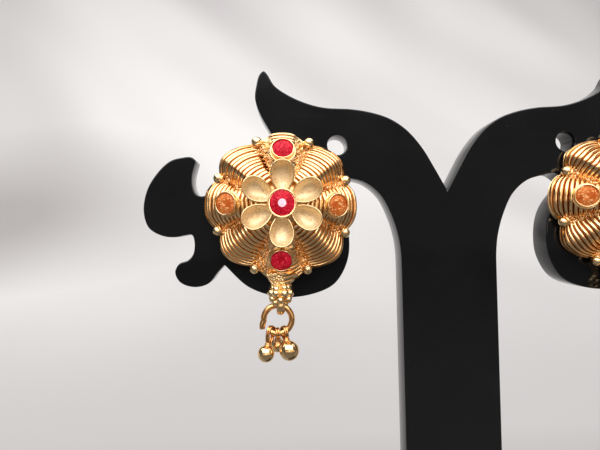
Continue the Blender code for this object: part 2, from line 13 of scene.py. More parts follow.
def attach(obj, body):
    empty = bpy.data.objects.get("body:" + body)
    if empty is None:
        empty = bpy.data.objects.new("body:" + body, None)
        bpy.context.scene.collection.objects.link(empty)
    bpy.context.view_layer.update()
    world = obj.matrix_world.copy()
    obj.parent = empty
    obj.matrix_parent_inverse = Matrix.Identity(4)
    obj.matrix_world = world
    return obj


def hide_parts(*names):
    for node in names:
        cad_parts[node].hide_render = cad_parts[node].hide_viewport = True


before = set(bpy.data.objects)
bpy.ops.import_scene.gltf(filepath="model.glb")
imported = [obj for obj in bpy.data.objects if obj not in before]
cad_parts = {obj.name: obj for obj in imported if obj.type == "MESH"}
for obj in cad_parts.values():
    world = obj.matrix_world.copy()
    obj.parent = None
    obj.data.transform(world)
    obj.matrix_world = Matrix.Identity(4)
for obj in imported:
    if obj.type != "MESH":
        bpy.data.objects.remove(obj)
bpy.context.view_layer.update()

# Stand, in metres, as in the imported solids
STAND_HEIGHT = 0.1000
HALF_SPAN = 0.0938 / 2
SCROLL_HEIGHT = 0.0349
SCROLL_FOOT = STAND_HEIGHT - SCROLL_HEIGHT
SHEET = 0.0040
POST_HALF = 0.0150 / 2
SHOULDER = 0.0020
SEAT_GAP = 0.0003
HANG_HOLE_RADIUS = 0.0031 / 2
EAR_HOLE_RADIUS = 0.00085
BASE_HALF = (0.0310, 0.0210)
BASE_THICKNESS = 0.0040
BASE_CORNER = 0.0040
SHEET_BEVEL = 0.00016
BEVEL_TURNS = (0.0, 0.55, 1.05, math.pi / 2)
MITRE_LIMIT = 0.45
CORNER_STEPS = 12
PLATE_SHARP = 40

# Earring, with its crown on z and its face towards +z; lengths on the dome count from the crown along a crest
LOBES = 8
RIGHT_LOBE, TOP_LOBE, LEFT_LOBE, BOTTOM_LOBE = 0, 2, 4, 6
DOME_RADIUS = 0.01125
DOME_RISE = 0.0042
RIM_WALL = 0.0007
SHELL_WALL = 0.0006
CROWN = RIM_WALL + DOME_RISE
CAP_RADIUS = 0.0002
VALLEY_DEPTH = 0.00155
CREST_FALL, VALLEY_FALL = 1.5, 3.3
VALLEY_START, VALLEY_FULL = math.radians(8.0), math.radians(45.0)
ROUND_LOBE_POWER = 2.6
CREST_ROUNDNESS = 0.42
CREST_SKEWS = np.array((0.0, -0.22, 0.0, 0.31, 0.0, -0.18, 0.0, 0.13))
LOBE_SHRINKS = np.array((0.015, 0.020, 0.028, 0.0, 0.0, 0.0, 0.0, 0.0))

# The dome's winding, grain and pinholes; places across a lobe run from 0 on its crest to 1 in a groove
LOBE_STEPS = 56
RIDGES_START = 0.0034
RIDGE_PITCH = 0.00068
RIDGE_HEIGHT = 0.00034
RIDGE_BEND = 0.00080
RIDGE_PHASES = np.array((0.0, 0.09, 0.19, 0.32, 0.5, 0.68, 0.81, 0.91))
LEAST_ROW = 0.00004
RIDGE_END, RIDGE_END_SPREAD, RIDGE_FADE = 0.80, 0.10, 0.08
RIDGE_LOWEST, RIDGE_SPREAD = 0.75, 0.45
GROWTH_START, GROWTH_END = 0.0075, 0.0105
SIDE_GROWTH, OTHER_GROWTH = 0.4, 0.15
TOP_FLANK, BOTTOM_FLANK = (0.34, 0.60), (0.10, 0.30)
INNER_GRAIN, INNER_FADE = 0.0070, 0.0008
GRAIN_HEIGHT = 0.00018
CROWN_LIFT = 0.4
RIDGE_STEEPNESS = 0.97
# Painted shade levels for the ridges' gaps, the grain's low spots and the inside of the shell
RIDGE_SHADE, RIDGE_SHADE_EDGES = 1.15, (0.45, 0.95)
GRAIN_SHADE, GRAIN_CONTRAST = 0.645, 0.9
INSIDE_SHADE = 0.3
PINHOLES = (0.00782, 0.00712, 0.00648, 0.00585, 0.00519)
PINHOLE_TURN = math.radians(114.0)
PINHOLE_RADIUS = 0.00022
PINHOLE_DEPTH = 0.0005
PINHOLE_CLEARANCE = 0.00042
# The pinholes' hollow shade level, which paints them near black as painted shade
PINHOLE_MARK = 3.0

RIM_BALL_RADIUS = 0.00080
RIM_BALL_OUT, RIM_BALL_UP = 0.8 * RIM_BALL_RADIUS, 1.35 * RIM_BALL_RADIUS
COLLAR_RADIUS, COLLAR_BACK = 0.82 * RIM_BALL_RADIUS, 0.62 * RIM_BALL_RADIUS
COLLAR_WIRE = 0.00016

PETAL_ANGLES = (28, 90, 152, 208, 270, 332)
PETAL_EDGE = CROWN + 0.0013
PETAL_ROOT = 0.00167
PETAL_REACH = 0.00615
PETAL_WIDTH = 0.0032
PETAL_FLARE = 0.20
PETAL_TILT = 11.0
PETAL_HINGE = PETAL_ROOT + 0.3 * (PETAL_REACH - PETAL_ROOT)
PETAL_MIDDLE = PETAL_ROOT + 0.54 * (PETAL_REACH - PETAL_ROOT)
PETAL_CUP = 0.0012
PETAL_CUP_POWER = 3.2
PETAL_CUP_ROWS = (0.04, 0.16, 0.30, 0.44, 0.57, 0.69, 0.79, 0.87, 0.94)
PETAL_UNDER_ROWS = (0.97, 0.86, 0.66, 0.40, 0.10)
PETAL_WALL = 0.00022
PETAL_SHADE = 0.30
LIP_RADIUS = 0.00010

CENTRE_RADIUS = 0.00177
OUTER_RADIUS = 0.00147
OUTER_REACH = 0.00770
OUTER_STONES = (("right", 0, "amber"), ("top", 90, "red"), ("left", 180, "amber"), ("bottom", 270, "red"))
STONE_GAP = 0.00006
GEM_CROWN, GEM_STARS, GEM_GIRDLE, GEM_DEPTH = 0.32, 0.66, 0.05, 0.22
COLLET_RISE = 0.00115
COLLET_DEPTH = 0.00075
COLLET_FOOT = -0.0005
COLLET_WALL, CENTRE_WALL = 0.00019, 0.00022
STONE_SINK = 0.35 * COLLET_DEPTH
FOOT_WIRE = 0.00014
FOOT_WIRE_REACH, FOOT_WIRE_HEIGHT = OUTER_RADIUS + 0.00034, 0.00018
CENTRE_EDGE = PETAL_EDGE + 0.0010

CLUSTER_RADIUS = 0.00130
NECK_LENGTH = 0.00072
CLUSTER_DROP = DOME_RADIUS + CLUSTER_RADIUS + NECK_LENGTH
HANG_LIFT = 0.0020
NECK_ROOT = 0.0012
NECK_ROOT_RADIUS = 0.0024
NECK_RADIUS = 0.00085
NECK_DEPTH = 0.50
NECK_RIDGES, NECK_SLANT, NECK_SWELL = 5, 1.2, 0.00030
NECK_ROWS, NECK_STEPS = 46, 64
NECK_GRANULES = 120
# Rows of granules: latitude, count, first turn and radius
CLUSTER_ROWS = (
    (74, 4, 20, 0.00046),
    (44, 6, 0, 0.00056),
    (10, 7, 12, 0.00064),
    (-24, 6, 34, 0.00062),
    (-54, 5, 10, 0.00052),
)
GRANULE_LIFT = 0.00012
EYE_RADIUS, EYE_WIRE, EYE_WIDTH = 0.00105, 0.00040, 1.55
EYE_DROP = 0.00025

RING_TOP = CLUSTER_DROP + CLUSTER_RADIUS + EYE_DROP
RING_RADIUS = 0.00208
RING_WIRE = 0.00046
RING_SHIFT = -0.0004
RING_STEPS = 64
RING_FIRST, RING_LAST = 212, -124
RING_SPREAD, RING_SPREAD_STEPS = 0.0006, 5
RING_TIP = 0.86

# Drops: letter, ball's radius, drawn length, turn on the ring, leans sideways and forward, twist
DROPS = (
    ("a", 0.00125, 0.0007, 242, -14, 12, -32),
    ("b", 0.00147, 0.0001, 298, 15, 22, 26),
    ("c", 0.00110, 0.0003, 270, 0, -38, 8),
)
DROP_WIRE = 0.00017
DROP_INNER = RING_WIRE + 0.00016
DROP_EYE = 0.00062 / math.cos(math.pi / 10) + 0.00024
DROP_NECK = 0.00034
DROP_COLLARS = ((0.00014, 0.000375), (-0.00008, 0.000435))
DROP_COLLAR_WIRE = 0.00014
DROP_SHADE = 0.55

PAD_TOP = CROWN - 0.0012
PAD_RADIUS, PAD_THICKNESS = 0.0016, 0.0005
ROD_RADIUS, ROD_GROOVE = 0.00055, 0.72
ROD_TAIL = -(SEAT_GAP + SHEET + 0.0025)
ROD_TIP = 0.0003

# Sides: name, hang hole out and up, earring out and up, both in shares, and the earring's lean
SIDES = (
    ("left", -0.365, 0.667, -0.5515, 0.399, 1.9),
    ("right", 0.409, 0.671, 0.5840, 0.390, 5.5),
)

# Colours that aren't a material's own argument
SPECK_BROWN = (0.34, 0.18, 0.06)
# Painted shade inside the pinholes
PINHOLE_PAINTED_SHADE = (0.02, 0.01, 0.005)
ACRYLIC_BLACKS = (0.0060, 0.0060, 0.0066), (0.0095, 0.0092, 0.0100)
DUST_GREY = (0.10, 0.10, 0.10)
# Pale pinks of the painted reflection on the centre stone's table
TABLE_REFLECTION_PINKS = (0.72, 0.42, 0.60), (0.86, 0.60, 0.74)
# Painted light and shade of the backdrop's folds, a painted fold shade and painted shade on the floor in
# front
FOLD_LIGHT_AND_SHADE_GREYS = (0.60, 0.58, 0.58), (0.80, 0.79, 0.78)
FOLD_PAINTED_SHADE = (0.42, 0.40, 0.395)
FRONT_PAINTED_SHADE = (0.24, 0.235, 0.23)
DAYLIGHT = (1.0, 0.985, 0.97)
WORLD_COLOUR = (0.95, 0.96, 1.0, 1.0)

# Left half of the sheet's outline, in shares of the half span and of the scroll height
ARM_TOP = (
    (0.000, 0.458), (0.045, 0.569), (0.076, 0.641), (0.111, 0.703), (0.144, 0.746), (0.190, 0.785),
    (0.247, 0.811), (0.313, 0.827), (0.404, 0.835), (0.465, 0.856), (0.525, 0.893), (0.569, 0.936),
    (0.592, 0.987), (0.603, 1.000), (0.617, 0.985), (0.628, 0.936), (0.633, 0.878), (0.619, 0.814),
    (0.592, 0.746), (0.551, 0.648),
)
OUTER_LOBE = (
    (0.551, 0.648), (0.613, 0.649), (0.686, 0.606), (0.745, 0.537), (0.778, 0.476), (0.807, 0.450),
    (0.829, 0.458), (0.842, 0.493), (0.843, 0.539), (0.835, 0.582), (0.831, 0.607), (0.845, 0.622),
    (0.872, 0.621), (0.914, 0.605), (0.961, 0.543), (0.990, 0.472), (1.000, 0.385), (0.984, 0.315),
    (0.943, 0.280), (0.903, 0.272), (0.870, 0.279), (0.847, 0.281), (0.839, 0.258), (0.842, 0.199),
    (0.859, 0.171), (0.888, 0.156), (0.902, 0.119), (0.886, 0.075), (0.842, 0.053), (0.796, 0.066),
    (0.764, 0.115), (0.742, 0.146),
)
ROUND_LOBE = (
    (0.742, 0.146), (0.730, 0.129), (0.664, 0.046), (0.561, 0.000), (0.459, 0.009), (0.383, 0.054),
    (0.340, 0.151), (0.332, 0.253), (0.345, 0.350), (0.380, 0.427), (0.425, 0.477),
)
ARCH = (
    (0.810, 0.527), (0.619, 0.518), (0.421, 0.496), (0.238, 0.439), (0.117, 0.356), (0.032, 0.257),
    (0.004, 0.176), (0.000, 0.106),
)


# Materials


class Nodes:
    """A material's node tree, built up one node at a time."""

    def __init__(self, name):
        self.material = bpy.data.materials.new(name)
        self.material.use_nodes = True
        self.tree = self.material.node_tree
        self.shader = self.tree.nodes["Principled BSDF"]

    def set(self, **values):
        for name, value in values.items():
            self.shader.inputs[name.replace("_", " ")].default_value = value

    def add(self, kind, values=(), **settings):
        node = self.tree.nodes.new(kind)
        for name, value in settings.items():
            setattr(node, name, value)
        for name, value in dict(values).items():
            if isinstance(value, bpy.types.NodeSocket):
                self.tree.links.new(value, node.inputs[name])
            else:
                node.inputs[name].default_value = value
        return node

    def place(self):
        return self.add("ShaderNodeTexCoord").outputs["Object"]

    def noise(self, scale, detail=3.0, roughness=0.5, place=None):
        values = {"Vector": place or self.place(), "Scale": scale, "Detail": detail, "Roughness": roughness}
        return self.add("ShaderNodeTexNoise", values).outputs["Fac"]

    def cells(self, scale, output):
        return self.add("ShaderNodeTexVoronoi", {"Vector": self.place(), "Scale": scale}).outputs[output]

    def attribute(self, name):
        return self.add("ShaderNodeAttribute", attribute_name=name).outputs["Fac"]

    def span(self, value, low, high, to_low=0.0, to_high=1.0):
        values = {"Value": value, "From Min": low, "From Max": high, "To Min": to_low, "To Max": to_high}
        return self.add("ShaderNodeMapRange", values).outputs["Result"]

    def blend(self, share, first, second):
        node = self.add("ShaderNodeMix", data_type="RGBA")
        for socket, value in ((node.inputs[0], share), (node.inputs[6], first), (node.inputs[7], second)):
            if isinstance(value, bpy.types.NodeSocket):
                self.tree.links.new(value, socket)
            else:
                socket.default_value = (*value, 1.0)
        return node.outputs[2]

    def math(self, operation, first, second):
        return self.add("ShaderNodeMath", {0: first, 1: second}, operation=operation).outputs[0]

    def bump(self, height, strength, distance):
        values = {"Height": height, "Strength": strength, "Distance": distance}
        return self.add("ShaderNodeBump", values).outputs["Normal"]

    def link(self, name, value):
        self.tree.links.new(value, self.shader.inputs[name])


def gold(name, light, deep, polish, grain=0.10, speck=0.0, metallic=1.0):
    """Cast gold: its tint varies in patches and darkens by painted shade in the hollows and pinholes, and its
    polish is patchy between two roughnesses.
    """
    made = Nodes(name)
    made.set(Metallic=metallic)
    patches = made.noise(scale=420.0, detail=4.0, roughness=0.6)
    fine = made.noise(scale=3800.0, detail=3.0, roughness=0.6)
    hollow = made.attribute("hollow")
    # The hollow shade value paints shade: the tint darkens towards the deep one in grooves, gaps and under
    # parts.
    share = made.math("ADD", made.span(patches, 0.35, 0.75, to_high=0.35), hollow)
    share.node.use_clamp = True
    tint = made.blend(share, light, deep)
    if speck:
        spots = made.span(made.noise(scale=4200.0, detail=2.0, roughness=0.7), 0.56, 0.68)
        tint = made.blend(made.math("MULTIPLY", spots, speck), tint, SPECK_BROWN)
    # Pinholes are painted near black as painted shade.
    pinhole_shade = made.span(hollow, 0.5 * PINHOLE_MARK, PINHOLE_MARK - 0.5)
    made.link("Base Color", made.blend(pinhole_shade, tint, PINHOLE_PAINTED_SHADE))
    dulled = made.span(hollow, 0.0, 1.0, to_high=0.10)
    made.link("Roughness", made.math("ADD", made.span(patches, 0.3, 0.7, *polish), dulled))
    made.link("Normal", made.bump(fine, strength=grain, distance=0.00003))
    return made.material


def black_acrylic():
    """Glossy black sheet with faint dust, hairline scratches and a soft unevenness."""
    made = Nodes("black_acrylic")
    made.set(IOR=1.49)
    dust = made.span(made.noise(scale=2600.0, detail=2.0, roughness=0.8), 0.70, 0.80)
    smears = made.noise(scale=70.0, detail=4.0, roughness=0.6)
    dark = made.blend(made.span(smears, 0.35, 0.7), *ACRYLIC_BLACKS)
    made.link("Base Color", made.blend(made.math("MULTIPLY", dust, 0.35), dark, DUST_GREY))
    values = {"Vector": made.place(), "Rotation": (0.3, 0.6, 0.4), "Scale": (1.0, 30.0, 30.0)}
    drawn_out = made.add("ShaderNodeMapping", values).outputs[0]
    scratches = made.span(made.noise(scale=90.0, detail=2.0, place=drawn_out), 0.66, 0.70)
    rough = made.span(smears, 0.3, 0.75, to_low=0.07, to_high=0.16)
    made.link("Roughness", made.math("ADD", rough, made.math("MULTIPLY", scratches, 0.05)))
    made.link("Normal", made.bump(scratches, strength=0.02, distance=0.00001))
    return made.material


def stone(name, bright, mid, deep):
    """A foiled stone: a clear skin over a crinkled ground that glows as painted light, with brighter flakes
    as painted glitter.
    """
    made = Nodes(name)
    # The emission is painted light: the stone glows though it is no lamp.
    made.set(Metallic=0.04, Roughness=0.18, IOR=1.20, Emission_Strength=0.42)
    flakes = made.cells(5200.0, "Color")
    level = made.add("ShaderNodeSeparateColor", {"Color": flakes}).outputs[0]
    cloud = made.noise(scale=700.0, detail=3.0, roughness=0.6)
    ground = made.blend(made.span(cloud, 0.35, 0.65), deep, mid)
    # The brighter flakes are painted glitter.
    foil_and_glow = made.blend(made.span(level, 0.72, 0.96), ground, bright)
    made.link("Base Color", foil_and_glow)
    # The foil colour also glows as painted light, so the stone stays lit where its face turns from the lamps.
    made.link("Emission Color", foil_and_glow)
    made.link("Normal", made.bump(made.cells(5200.0, "Distance"), strength=0.5, distance=0.00012))
    return made.material


def table_reflection():
    """The centre stone's small flat top, painted pale as a painted reflection."""
    made = Nodes("table_reflection")
    made.set(Roughness=0.12, IOR=1.6)
    haze = made.noise(scale=1500.0, detail=2.0)
    # The pale pinks are a painted reflection.
    made.link("Base Color", made.blend(made.span(haze, 0.4, 0.6), *TABLE_REFLECTION_PINKS))
    made.link("Normal", made.bump(haze, strength=0.1, distance=0.00005))
    return made.material


def looks():
    """The materials by their short names."""
    return {
        # The second tint of each gold serves its random patches and the painted shade in its hollows.
        "gold": gold("gold", (0.98, 0.70, 0.37), (0.54, 0.21, 0.045), (0.14, 0.26)),
        "grain": gold("grain_gold", (0.98, 0.68, 0.38), (0.84, 0.45, 0.17), (0.16, 0.28), grain=0.05),
        "petal": gold(
            "petal_gold", (1.0, 0.88, 0.62), (0.76, 0.44, 0.16), (0.47, 0.57),
            grain=0.60, speck=0.8, metallic=0.78,
        ),
        "rim": gold("rim_gold", (0.98, 0.75, 0.43), (0.80, 0.42, 0.14), (0.10, 0.20), grain=0.05),
        "ring_gold": gold("ring_gold", (0.90, 0.54, 0.23), (0.58, 0.21, 0.06), (0.08, 0.20), grain=0.06),
        "drop_gold": gold("drop_gold", (0.95, 0.69, 0.36), (0.66, 0.30, 0.09), (0.06, 0.12), grain=0.03),
        "post_metal": gold("post_metal", (0.80, 0.62, 0.36), (0.62, 0.40, 0.16), (0.25, 0.38), grain=0.05),
        "red": stone("red_stone", (0.64, 0.036, 0.062), (0.46, 0.008, 0.026), (0.31, 0.003, 0.011)),
        "amber": stone("amber_stone", (0.70, 0.38, 0.16), (0.50, 0.145, 0.032), (0.33, 0.055, 0.007)),
        "table_reflection": table_reflection(),
        "black_acrylic": black_acrylic(),
    }


# Meshes


class Shape:
    """Vertices and faces gathered for one mesh, with a hollow shade value for each vertex that sets its
    painted shade.
    """

    def __init__(self):
        self.verts, self.faces, self.hollows, self.count = [], [], [], 0
        self.flat_from = None

    def add(self, verts, faces, hollow=0.0, place=None):
        verts = np.asarray(verts, float)
        if place is not None:
            matrix = np.array(place)
            verts = verts @ matrix[:3, :3].T + matrix[:3, 3]
        self.verts.append(verts)
        self.faces += [[index + self.count for index in face] for face in faces]
        self.hollows.append(np.broadcast_to(hollow, (len(verts),)))
        self.count += len(verts)
        return self

    def mesh(self, name, material, sharp=None):
        """The gathered mesh with its faces turned outwards, smooth but over edges sharper than sharp."""
        mesh = bpy.data.meshes.new(name)
        mesh.from_pydata(np.concatenate(self.verts).tolist(), [], self.faces)
        shape = bmesh.new()
        shape.from_mesh(mesh)
        bmesh.ops.recalc_face_normals(shape, faces=shape.faces)
        shape.to_mesh(mesh)
        shape.free()
        # The hollow shade attribute carries the painted shade to the materials.
        layer = mesh.attributes.new("hollow", "FLOAT", "POINT")
        layer.data.foreach_set("value", np.concatenate(self.hollows).astype(np.float32))
        mesh.materials.append(material)
        mesh.shade_smooth()
        if sharp:
            mesh.set_sharp_from_angle(angle=math.radians(sharp))
        if self.flat_from is not None:
            for face in mesh.polygons[self.flat_from:]:
                face.use_smooth = False
        return mesh


def loft(rings, wrap=True, caps=False):
    """Faces between rings of points that all have the same count, with or without flat ends."""
    rings = np.asarray(rings, float)
    rows, columns = rings.shape[:2]
    index = np.arange(rows * columns).reshape(rows, columns)
    near = index if wrap else index[:, :-1]
    far = np.roll(index, -1, axis=1) if wrap else index[:, 1:]
    faces = np.stack([near[:-1], far[:-1], far[1:], near[1:]], axis=-1).reshape(-1, 4).tolist()
    if caps:
        faces += [index[0][::-1].tolist(), index[-1].tolist()]
    return rings.reshape(-1, 3), faces


def circle(radius, steps, height=0.0, start=0.0):
    """Points round the z axis; radius and height may be arrays with one value for each point."""
    turn = start + np.arange(steps) * math.tau / steps
    return np.stack([radius * np.cos(turn), radius * np.sin(turn), np.full(steps, height)], axis=-1)


def lathe(profile, steps):
    """A solid of revolution about z; the profile runs from one flat cap to the other."""
    return loft([circle(radius, steps, height) for radius, height in profile], caps=True)


def ball(radius, segments, rings):
    """A sphere with small caps."""
    rises = math.pi * np.linspace(0.04, 0.96, rings)
    return lathe([(radius * math.sin(rise), radius * math.cos(rise)) for rise in rises], segments)


def tube(points, radius, sides, closed=True):
    """A round wire along the points; radius may be a list with one value for each point."""
    points = [Vector(point) for point in points]
    count = len(points)
    radii = np.broadcast_to(radius, (count,)).tolist()
    across = None
    rings = []
    for i, point in enumerate(points):
        before = points[i - 1] if closed or i else point
        after = points[(i + 1) % count] if closed or i < count - 1 else point
        way = (after - before).normalized()
        if across is None:
            guess = Vector((0, 0, 1)) if abs(way.z) < 0.8 else Vector((1, 0, 0))
            across = guess - way * guess.dot(way)
        across = (across - way * across.dot(way)).normalized()
        side = way.cross(across)
        rings.append([point + radii[i] * (across * x + side * y) for x, y, _ in circle(1.0, sides)])
    if closed:
        verts, faces = loft(rings)
        last = (count - 1) * sides
        # The last ring joins the first one where the two lie closest.
        start = min(range(sides), key=lambda j: (rings[0][j] - rings[-1][0]).length)
        for j in range(sides):
            a, b = last + j, last + (j + 1) % sides
            faces.append([a, b, (start + j + 1) % sides, (start + j) % sides])
        return verts, faces
    return loft(rings, caps=True)


def move(x=0.0, y=0.0, z=0.0):
    return Matrix.Translation((x, y, z))


def spin(degrees, axis="Z"):
    return Matrix.Rotation(math.radians(degrees), 4, axis)


def put(name, data):
    """A new object in the scene."""
    thing = bpy.data.objects.new(name, data)
    bpy.context.scene.collection.objects.link(thing)
    return thing


def add_piece(name, mesh, nodes, place):
    """A piece of the object that stands for CAD nodes."""
    piece = put(name, mesh)
    piece.matrix_world = place
    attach(piece, "root")
    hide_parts(*nodes)
    return piece


# Stand


def on_sheet(out, up):
    """Metres on the sheet from shares of the half span and of the scroll height."""
    return out * HALF_SPAN, SCROLL_FOOT + up * SCROLL_HEIGHT


def smooth_line(points, steps=7):
    """A smooth line through the points, without its last one, with centripetal spacing."""

    def mix(first, last, start, end):
        return first * ((end - t) / (end - start)) + last * ((t - start) / (end - start))

    points = [Vector(point) for point in points]
    padded = [2 * points[0] - points[1], *points, 2 * points[-1] - points[-2]]
    line = []
    for p0, p1, p2, p3 in zip(padded, padded[1:], padded[2:], padded[3:]):
        t1 = (p1 - p0).length ** 0.5
        t2 = t1 + (p2 - p1).length ** 0.5
        t3 = t2 + (p3 - p2).length ** 0.5
        for i in range(steps):
            t = t1 + (t2 - t1) * i / steps
            a1, a2, a3 = mix(p0, p1, 0.0, t1), mix(p1, p2, t1, t2), mix(p2, p3, t2, t3)
            line.append(mix(mix(a1, a2, 0.0, t2), mix(a2, a3, t1, t3), t1, t2))
    return line


def sheet_outline():
    """The sheet's outline as (x, z) points, all round."""
    corner_out = ROUND_LOBE[-1][0] * HALF_SPAN
    arch = [on_sheet(*ROUND_LOBE[-1])]
    for out, up in ARCH:
        arch.append((POST_HALF + out * (corner_out - POST_HALF), on_sheet(0, up)[1]))
    half = []
    for stretch in (ARM_TOP, OUTER_LOBE, ROUND_LOBE):
        half += smooth_line([on_sheet(*row) for row in stretch])
    half += smooth_line(arch)
    seat = BASE_THICKNESS + SEAT_GAP
    tab = POST_HALF - SHOULDER
    half += [Vector(arch[-1]), Vector((POST_HALF, seat)), Vector((tab, seat)), Vector((tab, SEAT_GAP))]
    left = [(-point.x, point.y) for point in half]
    right = [(-x, z) for x, z in reversed(left[1:])]
    return left + right


def round_hole(out, up, radius, steps):
    return circle(radius, steps)[:, :2] + on_sheet(out, up)


def moved_in(points, depth, hole):
    """The closed line moved into the material by a depth."""
    loop = np.array(points, float)
    area = np.sum(loop[:, 0] * np.roll(loop[:, 1], -1) - np.roll(loop[:, 0], -1) * loop[:, 1])
    side = 1.0 if (area > 0) != hole else -1.0
    ahead = np.roll(loop, -1, axis=0) - loop
    ahead /= np.linalg.norm(ahead, axis=1, keepdims=True)
    normal = ahead[:, ::-1] * (-side, side)
    both = normal + np.roll(normal, 1, axis=0)
    both /= np.maximum(np.linalg.norm(both, axis=1, keepdims=True), 1e-9)
    stretch = 1.0 / np.maximum(np.sum(both * normal, axis=1, keepdims=True), MITRE_LIMIT)
    return loop + both * depth * stretch


def plate(outline, holes, thickness):
    """A flat plate, thick along z, with finely rounded edges, from outlines in x and y."""
    half = thickness / 2
    steps = [(SHEET_BEVEL * (1 - math.sin(a)), half - SHEET_BEVEL * (1 - math.cos(a))) for a in BEVEL_TURNS]
    rows = steps + [(depth, -z) for depth, z in reversed(steps)]
    shape = Shape()
    fronts, backs = [], []
    for points in [outline, *holes]:
        first = shape.count
        rings = []
        for depth, z in rows:
            loop = moved_in(points, depth, points is not outline)
            rings.append(np.column_stack([loop, np.full(len(loop), z)]))
        shape.add(*loft(rings))
        fronts.append((rings[0], first))
        backs.append((rings[-1], first + len(points) * (len(rows) - 1)))
    shape.flat_from = len(shape.faces)
    for loops in (fronts, backs):
        index = [start + i for ring, start in loops for i in range(len(ring))]
        flat = tessellate_polygon([[Vector(point) for point in ring] for ring, _ in loops])
        shape.faces += [[index[i] for i in triangle] for triangle in flat]
    return shape


def add_stand(look):
    """The upright sheet with its holes, and the foot plate with its slot."""
    black = look["black_acrylic"]
    holes = []
    for _, hole_out, hole_up, ear_out, ear_up, _ in SIDES:
        holes.append(round_hole(hole_out, hole_up, HANG_HOLE_RADIUS, 48))
        holes.append(round_hole(ear_out, ear_up, EAR_HOLE_RADIUS, 24))
    panel = plate(sheet_outline(), holes, SHEET).mesh("sheet", black, PLATE_SHARP)
    sheet = add_piece("sheet", panel, ["stand_panel"], spin(90, "X"))
    outline = []
    for quarter, (side_x, side_y) in enumerate(((1, 1), (-1, 1), (-1, -1), (1, -1))):
        for i in range(CORNER_STEPS + 1):
            turn = math.pi / 2 * (quarter + i / CORNER_STEPS)
            x = side_x * (BASE_HALF[0] - BASE_CORNER) + BASE_CORNER * math.cos(turn)
            y = side_y * (BASE_HALF[1] - BASE_CORNER) + BASE_CORNER * math.sin(turn)
            outline.append((x, y))
    slot_x = POST_HALF - SHOULDER + SEAT_GAP
    slot_y = SHEET / 2 + SEAT_GAP
    slot = [(slot_x, slot_y), (-slot_x, slot_y), (-slot_x, -slot_y), (slot_x, -slot_y)]
    base = plate(outline, [slot], BASE_THICKNESS).mesh("foot", black, PLATE_SHARP)
    foot_plate = add_piece("foot_plate", base, ["stand_base"], move(z=BASE_THICKNESS / 2))
    return [sheet, foot_plate]


# Earring body


def smooth_step(value, low, high):
    """0 below low, 1 above high and an S-shaped rise between them."""
    share = np.clip((value - low) / (high - low), 0.0, 1.0)
    return share * share * (3 - 2 * share)


def dome_line(angle, share, within=0.0):
    """Radius and height on the dome, or within it; the share is 0 on a crest and 1 in a groove."""
    reach = DOME_RADIUS - VALLEY_DEPTH * share - within
    fall = CREST_FALL + (VALLEY_FALL - CREST_FALL) * share
    foot = 0.0 if within else RIM_WALL
    level = np.maximum(np.cos(angle), 0.0) ** fall
    return reach * np.sin(angle), foot + (CROWN - within - foot) * level


def crest_lengths():
    """Angles from the crown to the rim, and the crest line's length up to each."""
    angles = np.linspace(0.0, math.pi / 2, 800)
    radius, height = dome_line(angles, 0.0)
    steps = np.hypot(np.diff(radius), np.diff(height))
    return angles, np.concatenate([[0.0], np.cumsum(steps)])


CREST_ANGLES, CREST_LENGTHS = crest_lengths()
RIM_LENGTH = CREST_LENGTHS[-1]
CREST_END = RIM_LENGTH + RIM_WALL


def across_lobe(turn):
    """Place across a lobe: 0 on its crest, -1 and 1 in the grooves beside it."""
    return (turn * LOBES / math.tau + 0.5) % 1.0 * 2 - 1


def lobe_number(turn):
    """Number of the lobe at a turn, counted from 0 at the right."""
    return np.floor(np.asarray(turn) * LOBES / math.tau + 0.5).astype(int) % LOBES


def groove_share(turn):
    """How near a turn is to a groove: 0 on a crest, 1 between two lobes.

    The lobes that carry stones are round. Those between have two nearly flat flanks, and their crests
    lie a little off the middle.
    """
    across = across_lobe(turn)
    lobe = lobe_number(turn)
    skew = CREST_SKEWS[lobe]
    from_crest = (across - skew) / np.where(across > skew, 1 - skew, 1 + skew)
    rise = np.hypot(from_crest, CREST_ROUNDNESS) - CREST_ROUNDNESS
    tent = rise / (math.hypot(1.0, CREST_ROUNDNESS) - CREST_ROUNDNESS)
    return np.where(lobe % 2 == 0, np.abs(across) ** ROUND_LOBE_POWER, tent)


def groove_share_at(turn, angle):
    """The groove share at an angle from the crown, where the grooves fade out."""
    return groove_share(turn) * smooth_step(angle, VALLEY_START, VALLEY_FULL)


def lobe_size(turn):
    """Share of the full reach that a lobe has; the lobes at the upper right came out smaller."""
    return 1 - LOBE_SHRINKS[lobe_number(turn)] * (1 - groove_share(turn))


def lobed_place(turn, length, lift):
    """Points on the lobed dome, lift above its surface; turn and length are arrays of one shape.

    The length counts from the crown along a crest, over the rim and down its wall.
    """
    angle = np.interp(length, CREST_LENGTHS, CREST_ANGLES)
    share = groove_share_at(turn, angle)
    radius, height = dome_line(angle, share)
    step = math.radians(1.0)
    ahead = dome_line(np.minimum(angle + step, math.pi / 2), share)
    behind = dome_line(angle - step, share)
    out, up = behind[1] - ahead[1], ahead[0] - behind[0]
    size = np.hypot(out, up)
    wall = length > RIM_LENGTH
    out, up = np.where(wall, 1.0, out / size), np.where(wall, 0.0, up / size)
    height = height - np.maximum(length - RIM_LENGTH, 0.0)
    radius = radius * lobe_size(turn) + out * lift
    return np.stack([radius * np.cos(turn), radius * np.sin(turn), height + up * lift], axis=-1)


def pinhole_gap(x, y):
    """Distance from the nearest pinhole, seen from the front."""
    gaps = [np.hypot(x - r * math.cos(PINHOLE_TURN), y - r * math.sin(PINHOLE_TURN)) for r in PINHOLES]
    return np.minimum.reduce(gaps)


